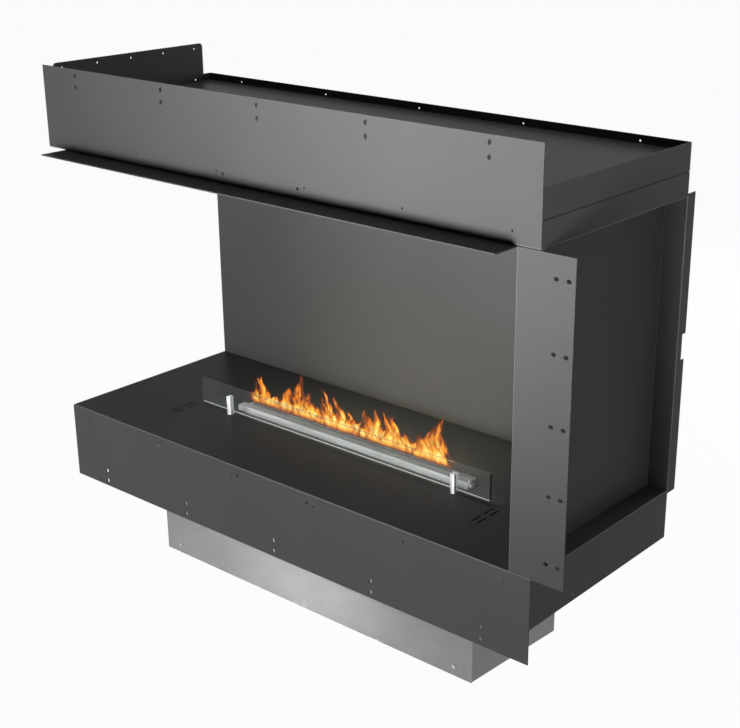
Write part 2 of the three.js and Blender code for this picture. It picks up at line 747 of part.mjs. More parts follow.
add('housing_front_cover', housingFrontCover(), galvanised());
add('housing_left_side', housingSide(-1), galvanised());
add('housing_right_side', housingSide(1), galvanised());
add('housing_back_plate', housingBackPlate(), galvanised());
add('housing_bottom_plate', housingBottomPlate(), galvanised());
screwStations.forEach((x, i) => {
  const screw = roundScrew(screwHeadRadius, screwHeadHeight, screwShankRadius, screwShankLength);
  const mesh = add(`housing_screw_${i + 1}`, screw, zincScrew());
  mesh.rotation.x = Math.PI / 2;
  mesh.position.set(x, housingFront, housingScrewZ);
});

add('burner_body', burnerBody(), brushedSteel());
add('fuel_tank', fuelTank(), brushedSteel());
add('ceramic_wick', ceramicWick(), ceramicFibre());
add('burner_rail_left', burnerRail(-1), galvanised());
add('burner_rail_right', burnerRail(1), galvanised());
add('damper_shaft', damperShaft(), brushedSteel());
const lever = add('damper_lever', damperLever(), brushedSteel());
lever.position.set(leverX0, shaftY, shaftZ);
lever.rotation.x = THREE.MathUtils.degToRad(leverTilt);

add('glass_shield', glassShield(), clearGlass());
['left', 'right'].forEach((side, i) => {
  const post = add(`glass_post_${side}`, glassPost(), chrome());
  post.position.set(postStations[i], postY, hearthTop);
  const length = sheet + postScrewDepth - 2 * seatGap;
  const screw = add(`post_screw_${side}`,
    roundScrew(screwHeadRadius, screwHeadHeight, postScrewRadius, length), zincScrew());
  screw.rotation.x = Math.PI;
  screw.position.set(postStations[i], postY, hearthUnder);
});

// Move the casing so that the origin is the middle of the footprint, on the housing's underside.
const footprint = {
  x: (casingWidth + sideFlangeReach) / 2,
  y: (casingDepth + backFlangeDepth - ceilingLip) / 2,
};
casing.position.set(-footprint.x, -footprint.y, housingDrop);

const fireplace = new THREE.Group();
fireplace.name = 'corner_fireplace';
fireplace.add(casing);

export default fireplace;
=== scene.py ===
"""Corner fireplace: finishes, flames, glass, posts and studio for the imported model.

The folded casing, the burner housing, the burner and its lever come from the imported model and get
their finishes here. The glass, its posts and the flames are made here as finer pieces.
"""

import math
import random

import bmesh
import bpy
from mathutils import Matrix, Vector, noise


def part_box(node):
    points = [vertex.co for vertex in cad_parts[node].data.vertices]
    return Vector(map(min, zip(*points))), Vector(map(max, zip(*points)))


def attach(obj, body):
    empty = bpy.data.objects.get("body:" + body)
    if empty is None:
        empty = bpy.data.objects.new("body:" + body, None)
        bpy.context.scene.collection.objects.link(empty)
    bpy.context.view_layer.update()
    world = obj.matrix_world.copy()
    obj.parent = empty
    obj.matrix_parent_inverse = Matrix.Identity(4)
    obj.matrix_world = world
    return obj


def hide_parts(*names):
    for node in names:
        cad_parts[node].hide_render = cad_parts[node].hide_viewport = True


bl_info = {
    "name": "Corner Fireplace",
    "version": (1, 0, 0),
    "blender": (4, 5, 0),
    "location": "View3D > Sidebar > Fireplace",
    "description": "Dresses the corner fireplace with its finishes, flames, glass and studio",
    "category": "Object",
}

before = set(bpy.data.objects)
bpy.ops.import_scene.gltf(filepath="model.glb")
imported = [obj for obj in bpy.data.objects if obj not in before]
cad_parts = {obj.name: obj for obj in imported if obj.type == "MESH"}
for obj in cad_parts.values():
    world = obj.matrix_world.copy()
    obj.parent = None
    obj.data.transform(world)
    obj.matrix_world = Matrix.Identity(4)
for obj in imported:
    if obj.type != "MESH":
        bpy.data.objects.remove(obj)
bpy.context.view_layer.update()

CASING = "casing"
GLASS = "glass"
BLACK_NODES = (
    "hearth_tray",
    "ceiling_tray",
    "roof_tray",
    "ceiling_plate",
    "right_side_wall",
    "back_wall",
)
HOUSING_NODES = (
    "housing_front_cover",
    "housing_back_plate",
    "housing_bottom_plate",
    "burner_rail_left",
    "burner_rail_right",
)
HOUSING_SIDE_NODES = ("housing_left_side", "housing_right_side")
SCREW_NODES = (
    "housing_screw_1",
    "housing_screw_2",
    "housing_screw_3",
    "post_screw_left",
    "post_screw_right",
)

# finishes
FOLD_HIGHLIGHT = 3.2  # lightness of the painted highlight on the coat's folds, as a multiple of the rest
SIDE_PAINTED_SHADE = 0.7  # painted shade: lightness of the housing's side plates, as a share of its cover's, since they catch less light
ROUND_GRAIN = 0.25  # a quarter turn, which draws highlights out upwards
FOLD_FLAT, FOLD_MIDDLE = 0.97, 0.72  # largest part of the normal on flat sheet and on a fold

# glass and posts, in metres
POST_SIDES = 72
POST_CHAMFER = 0.0006  # turned edge at the top of each post
POST_BEVEL_ANGLE = 50.0
PANE_BEVEL_ANGLE = 35.0
BEVEL_STEPS = 2
SLOT_GAP = 0.0003  # between the glass and its slot
SLOT_PASS = 0.01  # how far the slot's cutter stands out of the post
CLEAR_RIM = 0.0029  # strip of the rear face, seen through the top edge, that stays clear

# flames, in metres
FLAME_START = 0.0255  # the row starts this far inside the bar's left end
FLAME_END = 0.0600  # and ends this far inside its right end
FLAME_INSET = 0.005  # in front of the bar's rear face
FLAME_DROP = 0.0015  # below the top of the bar
FLAME_HEADROOM = 1.08  # height of a sheet, as a share of the tallest flame
LAYER_DEPTHS = (0.003, 0.0, -0.003)  # rear, middle and front sheet
MIDDLE_LAYER = 1
LAYER_SEED_STEP = 2.3
LEAST_HALF_WIDTH = 0.01  # thinner tongues stand in the middle sheet alone
CELL_WIDTH, CELL_HEIGHT = 0.0015, 0.0017  # mesh of the sheets
END_REACH = 0.016  # gas beyond each end of the row
END_FADE = (-0.012, 0.014)  # gas thins out over this stretch at each end
MOST_DENSITY = 0.95
LEAST_DENSITY = 0.012  # cells with less gas than this are left out
FULL_TURN = 6.28  # radians, for the phase at which a tongue sways

# glow of the flames
GLOW_SIZE = (0.54, 0.05)
GLOW_RISE = 0.05  # above the top of the bar
GLOW_BACK = Vector((0, 1, 0.25))
GLOW_FRONT = Vector((0, -1, -0.6))
GLOW_FRONT_SHARE = 0.10

# studio
FLOOR_SIZE = 60.0
FLOOR_DROP = 0.0004  # below the housing's underside, so that the two don't share a plane
FLOOR_SEEN = 0.96  # share of plain white in the floor as the camera and mirrors see it
WORLD_SEEN = 0.966  # level of the world as they see it
SENSOR_WIDTH = 36.0
CAMERA_PLACE = (1.71847, -1.88445, 1.44486)
CAMERA_AZIMUTH, CAMERA_ELEVATION = 39.84, 20.581  # degrees
CAMERA_SHIFT = (-0.05791, 0.00764)
CAMERA_FAR = 200.0


# ------------------------------------------------------------------ node trees
class Tree:
    """Builds one material's node tree around its Principled shader."""

    def __init__(self, name):
        self.material = bpy.data.materials.new(name)
        self.material.use_nodes = True
        self.nodes = self.material.node_tree.nodes
        self.links = self.material.node_tree.links
        self.shader = self.nodes["Principled BSDF"]
        self.place = self.nodes.new("ShaderNodeTexCoord")

    def link(self, source, target):
        self.links.new(source, target)

    def set(self, socket, value):
        """A constant, straight on the shader's own socket."""
        self.shader.inputs[socket].default_value = value

    def noise(self, scale, detail, roughness=0.5, stretch=(1, 1, 1)):
        """Noise over the piece, drawn out along the axis whose stretch is smallest."""
        mapping = self.nodes.new("ShaderNodeMapping")
        mapping.inputs["Scale"].default_value = stretch
        self.link(self.place.outputs["Object"], mapping.inputs["Vector"])
        node = self.nodes.new("ShaderNodeTexNoise")
        node.inputs["Scale"].default_value = scale
        node.inputs["Detail"].default_value = detail
        node.inputs["Roughness"].default_value = roughness
        self.link(mapping.outputs["Vector"], node.inputs["Vector"])
        return node.outputs["Fac"]

    def ramp(self, value, stops):
        """Colour ramp with (position, colour) stops."""
        node = self.nodes.new("ShaderNodeValToRGB")
        ramp = node.color_ramp
        while len(ramp.elements) < len(stops):
            ramp.elements.new(0.5)
        for element, (position, colour) in zip(ramp.elements, stops):
            element.position = position
            element.color = (*colour, 1.0)
        self.link(value, node.inputs["Fac"])
        return node.outputs["Color"]

    def between(self, value, low, high, from_low, from_high):
        """The value's range from_low to from_high spread over low to high."""
        node = self.nodes.new("ShaderNodeMapRange")
        node.inputs["From Min"].default_value = from_low
        node.inputs["From Max"].default_value = from_high
        node.inputs["To Min"].default_value = low
        node.inputs["To Max"].default_value = high
        self.link(value, node.inputs["Value"])
        return node.outputs["Result"]

    def math(self, operation, a, b):
        node = self.nodes.new("ShaderNodeMath")
        node.operation = operation
        for socket, value in zip(node.inputs, (a, b)):
            if isinstance(value, (int, float)):
                socket.default_value = value
            else:
                self.link(value, socket)
        return node.outputs["Value"]

    def weighed(self, *parts):
        """Sum of (value, weight) parts."""
        total = None
        for value, weight in parts:
            part = self.math("MULTIPLY", value, weight)
            total = part if total is None else self.math("ADD", total, part)
        return total

    def colour(self, value, stops):
        """Base colour from a colour ramp."""
        self.link(self.ramp(value, stops), self.shader.inputs["Base Color"])

    def rough(self, value, low, high, from_low=0.3, from_high=0.7):
        """Roughness that follows value."""
        result = self.between(value, low, high, from_low, from_high)
        self.link(result, self.shader.inputs["Roughness"])

    def bump(self, height, distance, strength):
        node = self.nodes.new("ShaderNodeBump")
        node.inputs["Strength"].default_value = strength
        node.inputs["Distance"].default_value = distance
        self.link(height, node.inputs["Height"])
        self.link(node.outputs["Normal"], self.shader.inputs["Normal"])

    def attribute(self, name):
        node = self.nodes.new("ShaderNodeAttribute")
        node.attribute_name = name
        return node.outputs["Fac"]

    def folds(self):
        """1 on the middle of a fold, which faces between two axes, and 0 on flat sheet; it masks
        the painted fold highlight.
        """
        parts = self.nodes.new("ShaderNodeSeparateXYZ")
        self.link(self.place.outputs["Normal"], parts.inputs["Vector"])
        x, y, z = (self.math("ABSOLUTE", parts.outputs[axis], 0.0) for axis in "XYZ")
        largest = self.math("MAXIMUM", self.math("MAXIMUM", x, y), z)
        return self.between(largest, 1.0, 0.0, FOLD_MIDDLE, FOLD_FLAT)

    def upright_grain(self, amount):
        """Highlights drawn out upwards, as on metal that is rolled or turned upright."""
        around = self.nodes.new("ShaderNodeTangent")
        around.direction_type = "RADIAL"
        around.axis = "Z"
        self.link(around.outputs["Tangent"], self.shader.inputs["Tangent"])
        self.set("Anisotropic", amount)
        self.set("Anisotropic Rotation", ROUND_GRAIN)


def shade(colour, factor):
    return tuple(min(1.0, c * factor) for c in colour)


def powder_coat(colour, roughness):
    """Satin powder coat: fine orange peel, faint clouds, and paler lines painted on the folds as a
    highlight.
    """
    tree = Tree("satin_powder_coat")
    cloud = tree.noise(3.2, 4.0)
    grain = tree.noise(620.0, 2.0)
    mixed = tree.weighed((cloud, 0.7), (grain, 0.3))
    tone = tree.ramp(mixed, [(0.32, shade(colour, 0.93)), (0.5, colour),
                             (0.68, shade(colour, 1.07))])
    # painted highlight: the folds are painted paler, as if their bends caught the light
    fold_highlight = tree.nodes.new("ShaderNodeMix")
    fold_highlight.data_type = "RGBA"
    tree.link(tree.folds(), fold_highlight.inputs["Factor"])
    tree.link(tone, fold_highlight.inputs["A"])
    fold_highlight.inputs["B"].default_value = (*shade(colour, FOLD_HIGHLIGHT), 1.0)
    tree.link(fold_highlight.outputs["Result"], tree.shader.inputs["Base Color"])
    tree.rough(mixed, roughness - 0.05, roughness + 0.06)
    tree.bump(grain, 0.00006, 0.5)
    tree.set("Specular IOR Level", 0.02)
    return tree.material


def galvanised_sheet(name, colour, roughness):
    """Bright zinc-coated sheet with rolling marks along the width and a soft spangle."""
    tree = Tree(name)
    rolled = tree.noise(4.0, 5.0, 0.6, (6, 6, 260))
    cloud = tree.noise(5.0, 3.0, stretch=(1, 1, 1.6))
    spangle = tree.nodes.new("ShaderNodeTexVoronoi")
    spangle.inputs["Scale"].default_value = 85.0
    tree.link(tree.place.outputs["Object"], spangle.inputs["Vector"])
    mixed = tree.weighed((rolled, 0.45), (cloud, 0.4), (spangle.outputs["Color"], 0.16))
    tree.colour(mixed, [(0.3, shade(colour, 0.86)), (0.5, colour), (0.72, shade(colour, 1.13))])
    tree.rough(mixed, roughness - 0.07, roughness + 0.08)
    tree.bump(rolled, 0.00004, 0.4)
    tree.set("Metallic", 1.0)
    tree.upright_grain(0.9)
    return tree.material


def brushed_steel(name, colour, roughness, stretch, metallic=1.0):
    """Stainless steel with fine brushing lines along the axis whose stretch is smallest."""
    tree = Tree(name)
    lines = tree.noise(9.0, 6.0, 0.65, stretch)
    cloud = tree.noise(14.0, 2.0)
    mixed = tree.weighed((lines, 0.7), (cloud, 0.3))
    tree.colour(mixed, [(0.3, shade(colour, 0.82)), (0.52, colour), (0.74, shade(colour, 1.12))])
    tree.rough(lines, roughness - 0.08, roughness + 0.1)
    tree.bump(lines, 0.00005, 0.5)
    tree.set("Metallic", metallic)
    return tree.material


def satin_chrome():
    """Satin chrome plate with a faint polishing haze."""
    tree = Tree("satin_chrome")
    haze = tree.noise(120.0, 3.0)
    tree.colour(haze, [(0.3, (0.86, 0.87, 0.88)), (0.7, (0.93, 0.94, 0.95))])
    tree.rough(haze, 0.34, 0.42)
    tree.set("Metallic", 0.92)
    tree.upright_grain(0.9)
    return tree.material


def clear_glass():
    """Toughened glass with a faint haze of dust; it casts no shadow, as clear glass hardly does."""
    tree = Tree("clear_glass")
    haze = tree.noise(22.0, 4.0)
    tree.colour(haze, [(0.3, (0.90, 0.95, 0.93)), (0.7, (0.96, 0.98, 0.97))])
    tree.rough(haze, 0.0, 0.03, 0.4)
    tree.set("Transmission Weight", 0.985)
    tree.set("IOR", 1.16)
    open_way = tree.nodes.new("ShaderNodeBsdfTransparent")
    path = tree.nodes.new("ShaderNodeLightPath")
    mix = tree.nodes.new("ShaderNodeMixShader")
    tree.link(path.outputs["Is Shadow Ray"], mix.inputs["Fac"])
    tree.link(tree.shader.outputs["BSDF"], mix.inputs[1])
    tree.link(open_way.outputs["BSDF"], mix.inputs[2])
    tree.link(mix.outputs["Shader"], tree.nodes["Material Output"].inputs["Surface"])
    return tree.material


def ground_edge(name, alpha, tone=1.0):
    """Ground edge of the glass: matte and partly clear; tone sets its lightness, so that the foot
    gets a painted highlight and the pane's end painted shade.
    """
    tree = Tree(name)
    grind = tree.noise(900.0, 3.0)
    tree.colour(grind, [(0.3, shade((0.55, 0.60, 0.58), tone)),
                        (0.7, shade((0.70, 0.75, 0.73), tone))])
    tree.rough(grind, 0.35, 0.6)
    tree.set("Alpha", alpha)
    return tree.material


def ceramic_fibre():
    """Off-white fibre wick with a soft matted surface."""
    tree = Tree("ceramic_fibre")
    matted = tree.noise(260.0, 6.0, 0.7)
    tree.colour(matted, [(0.3, (0.62, 0.58, 0.50)), (0.7, (0.86, 0.83, 0.76))])
    tree.bump(matted, 0.0008, 0.8)
    tree.set("Roughness", 0.95)
    return tree.material


def flame_gas(strength):
    """Glowing gas: heat sets its colour, from dull orange to yellow, and density its opacity."""
    tree = Tree("flame_gas")
    heat = tree.attribute("gas_heat")
    tone = tree.ramp(heat, [(0.0, (0.10, 0.022, 0.012)), (0.18, (0.36, 0.070, 0.020)),
                            (0.36, (0.82, 0.22, 0.026)), (0.56, (1.0, 0.42, 0.045)),
                            (0.78, (1.0, 0.62, 0.10)), (1.0, (1.0, 0.83, 0.27))])
    tree.link(tone, tree.shader.inputs["Emission Color"])
    tree.colour(heat, [(0.0, (0.05, 0.01, 0.0)), (1.0, (0.12, 0.07, 0.02))])
    tree.link(tree.attribute("gas_density"), tree.shader.inputs["Alpha"])
    tree.set("Emission Strength", strength)
    tree.set("Roughness", 1.0)
    tree.set("Specular IOR Level", 0.0)
    return tree.material


def background_rays(nodes, links):
    """1 for rays from the camera, off glossy surfaces and through glass, and 0 for all others."""
    path = nodes.new("ShaderNodeLightPath")
    seen = path.outputs["Is Camera Ray"]
    for kind in ("Is Glossy Ray", "Is Transmission Ray"):
        either = nodes.new("ShaderNodeMath")
        either.operation = "MAXIMUM"
        links.new(seen, either.inputs[0])
        links.new(path.outputs[kind], either.inputs[1])
        seen = either.outputs["Value"]
    return seen


def studio_floor_paint(colour):
    """Matte floor that the camera and mirrors see brighter than it is lit."""
    tree = Tree("studio_floor")
    tree.set("Roughness", 0.9)
    tree.set("Specular IOR Level", 0.0)
    grain = tree.noise(3.0, 2.0)
    tree.colour(grain, [(0.3, shade(colour, 0.995)), (0.7, colour)])
    light = tree.nodes.new("ShaderNodeEmission")
    light.inputs["Color"].default_value = (1, 1, 1, 1)
    light.inputs["Strength"].default_value = 1.0
    mix = tree.nodes.new("ShaderNodeMixShader")
    seen = background_rays(tree.nodes, tree.links)
    tree.link(tree.math("MULTIPLY", seen, FLOOR_SEEN), mix.inputs["Fac"])
    tree.link(tree.shader.outputs["BSDF"], mix.inputs[1])
    tree.link(light.outputs["Emission"], mix.inputs[2])
    tree.link(mix.outputs["Shader"], tree.nodes["Material Output"].inputs["Surface"])
    return tree.material


# ------------------------------------------------------------------ meshes
def piece(name, mesh, material, body, smooth=True):
    """A finished mesh object that rides on a body."""
    obj = bpy.data.objects.new(name, mesh)
    bpy.context.scene.collection.objects.link(obj)
    obj.data.materials.append(material)
    if smooth:
        for polygon in mesh.polygons:
            polygon.use_smooth = True
        mesh.set_sharp_from_angle(angle=math.radians(22))
    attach(obj, body)
    return obj


def dress(names, material):
    """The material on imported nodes, in place of their plain one."""
    for name in names:
        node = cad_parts[name]
        node.data.materials.clear()
        node.data.materials.append(material)


def mesh_from(bm, name, closed=True):
    """A mesh of what bm holds, with its faces turned outwards where it is closed."""
    mesh = bpy.data.meshes.new(name)
    if closed:
        bmesh.ops.recalc_face_normals(bm, faces=bm.faces)
    bm.to_mesh(mesh)
    bm.free()
    return mesh


def applied(obj):
    """The object's mesh with its modifiers applied; the object goes."""
    graph = bpy.context.evaluated_depsgraph_get()
    mesh = bpy.data.meshes.new_from_object(obj.evaluated_get(graph))
    bpy.data.objects.remove(obj)
    return mesh


def bevelled(mesh, width, angle):
    """The mesh with its edges sharper than angle rounded."""
    obj = bpy.data.objects.new("bevel_work", mesh)
    bpy.context.scene.collection.objects.link(obj)
    modifier = obj.modifiers.new("edges", "BEVEL")
    modifier.width = width
    modifier.segments = BEVEL_STEPS
    modifier.limit_method = "ANGLE"
    modifier.angle_limit = math.radians(angle)
    return applied(obj)


def cut(mesh, cutter_mesh):
    """mesh less cutter_mesh."""
    body = bpy.data.objects.new("cut_body", mesh)
    cutter = bpy.data.objects.new("cut_tool", cutter_mesh)
    for obj in (body, cutter):
        bpy.context.scene.collection.objects.link(obj)
    modifier = body.modifiers.new("cut", "BOOLEAN")
    modifier.operation = "DIFFERENCE"
    modifier.solver = "EXACT"
    modifier.object = cutter
    result = applied(body)
    bpy.data.objects.remove(cutter)
    return result


def box_mesh(low, high, name):
    bm = bmesh.new()
    bmesh.ops.create_cube(bm, size=1.0)
    size = Vector(high) - Vector(low)
    middle = (Vector(high) + Vector(low)) / 2
    for vertex in bm.verts:
        vertex.co = vertex.co * size + middle
    return mesh_from(bm, name)


def turned(profile, centre, name):
    """A body turned round the upright axis through centre; profile holds (radius, height)."""
    bm = bmesh.new()
    rings = []
    for radius, height in profile:
        ring = []
        for i in range(POST_SIDES):
            a = 2 * math.pi * i / POST_SIDES
            ring.append(bm.verts.new((centre[0] + radius * math.cos(a),
                                      centre[1] + radius * math.sin(a), centre[2] + height)))
        rings.append(ring)
    for lower, upper in zip(rings, rings[1:]):
        for i in range(POST_SIDES):
            j = (i + 1) % POST_SIDES
            bm.faces.new((lower[i], lower[j], upper[j], upper[i]))
    bm.faces.new(list(reversed(rings[0])))
    bm.faces.new(rings[-1])
    return mesh_from(bm, name)


# ------------------------------------------------------------------ flames
def smooth_step(low, high, value):
    """0 up to low, 1 from high, and an easy rise between."""
    t = min(1.0, max(0.0, (value - low) / (high - low)))
    return t * t * (3 - 2 * t)


def strands(x, z, seed):
    """Uneven gas: noise drawn out upwards, from 0 to 1."""
    fine = noise.noise(Vector((x * 230, z * 40 - seed, seed * 1.7)))
    broad = noise.noise(Vector((x * 90, z * 26 - seed * 0.6, seed * 3.1)))
    return min(1.0, max(0.0, 0.5 + 0.5 * fine + 0.62 * broad))


def curl(x, z, rise, seed):
    """How far the gas is drawn aside, in metres: a broad swirl that grows upwards, and ripples."""
    swirl = noise.noise(Vector((x * 46, z * 40 - seed, seed)))
    ripple = noise.noise(Vector((x * 130, z * 90 - seed, seed * 2.0)))
    return 0.0060 * swirl * (0.3 + rise) + 0.0024 * ripple


def tongue_part(x, z, foot, height, lean, half, phase):
    """How deep a point lies in one tongue of flame: 0 at its rim, up to 1, less towards its tip."""
    t = z / height
    if t >= 1.0 or abs(x - foot) > 0.1:
        return 0.0
    sway = lean * t ** 1.6 + 0.35 * half * math.sin(7.0 * t + phase) * t
    width = 1.25 * half * ((1 - t) ** 0.95 + 0.18 * math.sin(math.pi * t))
    off = (x - foot - sway) / max(width, 1e-5)
    return max(0.0, 1.0 - off * off) * (1 - t) ** 0.35


def gas_at(x, z, rise, ends, tongues, seed):
    """Heat and density of the gas at a point of a sheet."""
    aside = curl(x, z, rise, seed)
    body = sum(tongue_part(x + aside, z, *tongue) for tongue in tongues)
    gas = strands(x + 2 * aside, z, seed)
    body *= 0.45 + 0.9 * gas
    foot = smooth_step(0.003, 0.016, z + 0.006 * noise.noise(Vector((x * 120, seed, 0.0))))
    density = smooth_step(0.06, 0.70, body) * foot * (0.45 + 0.6 * gas) * (0.35 + 0.65 * ends)
    heat = smooth_step(0.05, 1.45, body) * (0.64 + 0.72 * gas) * smooth_step(0.0, 0.026, z)
    heat *= (1.05 - 0.40 * rise) * (0.3 + 0.7 * ends)
    return min(1.0, heat), min(MOST_DENSITY, density)


def curtain(start, length, top, tongues, depth, seed, name):
    """Upright sheet of gas over the slot: tongues of flame that merge below and part at their tips.

    tongues holds (foot, height, lean, half width, phase), all in metres but the phase.
    """
    columns = round((length + 2 * END_REACH) / CELL_WIDTH)
    rows = round(top / CELL_HEIGHT)
    bm = bmesh.new()
    heat_layer = bm.verts.layers.float.new("gas_heat")
    density_layer = bm.verts.layers.float.new("gas_density")
    grid = []
    for i in range(columns + 1):
        x = (length + 2 * END_REACH) * i / columns - END_REACH
        ends = smooth_step(*END_FADE, x) * smooth_step(*END_FADE, length - x)
        column = []
        for j in range(rows + 1):
            z = top * j / rows
            rise = z / top
            wave = (0.0015 * math.sin(x * 52 + seed)
                    + 0.006 * rise * math.sin(x * 33 + z * 45 + 2 * seed))
            vertex = bm.verts.new((start.x + x, start.y + depth * (0.6 + 1.8 * rise) + wave,
                                   start.z + z))
            vertex[heat_layer], vertex[density_layer] = gas_at(x, z, rise, ends, tongues, seed)
            column.append(vertex)
        grid.append(column)
    for left, right in zip(grid, grid[1:]):
        for j in range(rows):
            corners = (left[j], right[j], right[j + 1], left[j + 1])
            if max(v[density_layer] for v in corners) > LEAST_DENSITY:
                bm.faces.new(corners)
    bmesh.ops.delete(bm, geom=[v for v in bm.verts if not v.link_faces], context="VERTS")
    return mesh_from(bm, name, closed=False)


# ------------------------------------------------------------------ lights
def area_light(name, place, toward, size, power):
    """A rectangular lamp that shines toward a direction and isn't itself seen."""
    lamp = bpy.data.lights.new(name, "AREA")
    lamp.shape = "RECTANGLE"
    lamp.size, lamp.size_y = size
    lamp.energy = power
    obj = bpy.data.objects.new(name, lamp)
    bpy.context.scene.collection.objects.link(obj)
    obj.location = place
    obj.rotation_mode = "QUATERNION"
    obj.rotation_quaternion = toward.to_track_quat("-Z", "Y")
    obj.visible_camera = False
    obj.visible_transmission = False
    return obj


# ------------------------------------------------------------------ settings
class FireplaceFinish(bpy.types.PropertyGroup):
    """Finishes of the steel, the glass and its posts"""

    coat_colour: bpy.props.FloatVectorProperty(
        name="Coat colour", description="Colour of the powder-coated casing",
        default=(0.088, 0.089, 0.090), size=3, min=0.0, max=1.0, subtype="COLOR")
    coat_roughness: bpy.props.FloatProperty(
        name="Coat roughness", description="Roughness of the powder coat",
        default=0.40, min=0.1, max=0.9, subtype="FACTOR")
    zinc_colour: bpy.props.FloatVectorProperty(
        name="Zinc colour", description="Colour of the galvanised burner housing",
        default=(0.25, 0.252, 0.254), size=3, min=0.0, max=1.0, subtype="COLOR")
    zinc_roughness: bpy.props.FloatProperty(
        name="Zinc roughness", description="Roughness of the galvanised sheet",
        default=0.42, min=0.1, max=0.9, subtype="FACTOR")
    steel_colour: bpy.props.FloatVectorProperty(
        name="Steel colour", description="Colour of the brushed burner bar",
        default=(0.84, 0.84, 0.83), size=3, min=0.0, max=1.0, subtype="COLOR")
    steel_roughness: bpy.props.FloatProperty(
        name="Steel roughness", description="Roughness of the brushed burner bar",
        default=0.44, min=0.1, max=0.9, subtype="FACTOR")
    glass_edge: bpy.props.FloatProperty(
        name="Glass edge", description="Width of the ground edges of the glass",
        default=0.0007, min=0.0001, max=0.002, unit="LENGTH")
    post_edge: bpy.props.FloatProperty(
        name="Post edge", description="Rounding of the edges of the glass posts",
        default=0.0004, min=0.0001, max=0.002, unit="LENGTH")


class FireplaceFlames(bpy.types.PropertyGroup):
    """The row of flames and its light"""

    tongues: bpy.props.IntProperty(
        name="Tongues", description="Number of small tongues between the tall ones",
        default=22, min=4, max=60)
    height: bpy.props.FloatProperty(
        name="Height", description="Height of the tallest flame above the burner",
        default=0.104, min=0.02, max=0.3, unit="LENGTH")
    strength: bpy.props.FloatProperty(
        name="Strength", description="Brightness of the flames",
        default=1.0, min=0.1, max=10.0)
    glow: bpy.props.FloatProperty(
        name="Glow", description="Power of the warm light that the flames throw",
        default=0.47, min=0.0, max=50.0, unit="POWER")
    glow_colour: bpy.props.FloatVectorProperty(
        name="Glow colour", description="Colour of the warm light that the flames throw",
        default=(1.0, 0.85, 0.52), size=3, min=0.0, max=1.0, subtype="COLOR")
    seed: bpy.props.IntProperty(
        name="Seed", description="Changes the pattern of the small tongues", default=7, min=0)


class FireplaceStudio(bpy.types.PropertyGroup):
    """Floor, lights and camera"""

    floor_colour: bpy.props.FloatVectorProperty(
        name="Floor colour", description="Colour of the plain studio floor",
        default=(0.93, 0.93, 0.93), size=3, min=0.0, max=1.0, subtype="COLOR")
    key_power: bpy.props.FloatProperty(
        name="Key light", description="Power of the wide soft light low in front",
        default=32.0, min=0.0, max=500.0, unit="POWER")
    panel_power: bpy.props.FloatProperty(
        name="Panel light", description="Power of the light that lifts the upper front panel",
        default=9.3, min=0.0, max=500.0, unit="POWER")
    corner_power: bpy.props.FloatProperty(
        name="Corner light", description="Power of the lights before the open corner",
        default=9.0, min=0.0, max=500.0, unit="POWER")
    hearth_power: bpy.props.FloatProperty(
        name="Hearth light", description="Power of the soft light above the hearth",
        default=0.65, min=0.0, max=50.0, unit="POWER")
    side_power: bpy.props.FloatProperty(
        name="Side light", description="Power of the soft light at the closed side",
        default=6.5, min=0.0, max=500.0, unit="POWER")
    back_power: bpy.props.FloatProperty(
        name="Back light", description="Power of the soft lights behind and at the open side",
        default=45.0, min=0.0, max=500.0, unit="POWER")
    top_power: bpy.props.FloatProperty(
        name="Top light", description="Power of the soft light above",
        default=4.0, min=0.0, max=500.0, unit="POWER")
    ambient: bpy.props.FloatProperty(
        name="Ambient", description="Level of the plain light from all round",
        default=0.0, min=0.0, max=2.0, subtype="FACTOR")
    focal_length: bpy.props.FloatProperty(
        name="Focal length", description="Focal length of the camera",
        default=68.19, min=10.0, max=300.0, unit="CAMERA")


# ------------------------------------------------------------------ operators
class FIREPLACE_OT_casing(bpy.types.Operator):
    """Powder coat on the folded casing"""

    bl_idname = "fireplace.casing"
    bl_label = "Casing"

    def execute(self, context):
        finish = context.scene.fireplace_finish
        dress(BLACK_NODES, powder_coat(tuple(finish.coat_colour), finish.coat_roughness))
        return {"FINISHED"}


class FIREPLACE_OT_housing(bpy.types.Operator):
    """Galvanised finish on the burner housing and its rails, and steel on the screws"""

    bl_idname = "fireplace.housing"
    bl_label = "Burner housing"

    def execute(self, context):
        finish = context.scene.fireplace_finish
        zinc, roughness = tuple(finish.zinc_colour), finish.zinc_roughness
        dress(HOUSING_NODES, galvanised_sheet("galvanised_sheet", zinc, roughness))
        # painted shade: the side plates get a darker copy of the same zinc
        dress(HOUSING_SIDE_NODES,
              galvanised_sheet("galvanised_sheet_painted_shade", shade(zinc, SIDE_PAINTED_SHADE), roughness))
        dress(SCREW_NODES, brushed_steel("zinc_screw", (0.5, 0.5, 0.49), 0.3, (60, 60, 60)))
        return {"FINISHED"}


class FIREPLACE_OT_burner(bpy.types.Operator):
    """Brushed steel on the burner bar, its tank and its damper, and the fibre wick"""

    bl_idname = "fireplace.burner"
    bl_label = "Burner"

    def execute(self, context):
        finish = context.scene.fireplace_finish
        steel = brushed_steel("brushed_steel", tuple(finish.steel_colour),
                              finish.steel_roughness, (1.5, 60, 60), 0.86)
        dress(("burner_body", "fuel_tank", "damper_shaft"), steel)
        dress(("damper_lever",),
              brushed_steel("lever_steel", (0.92, 0.92, 0.91), 0.3, (60, 60, 4), 0.2))
        dress(("ceramic_wick",), ceramic_fibre())
        return {"FINISHED"}


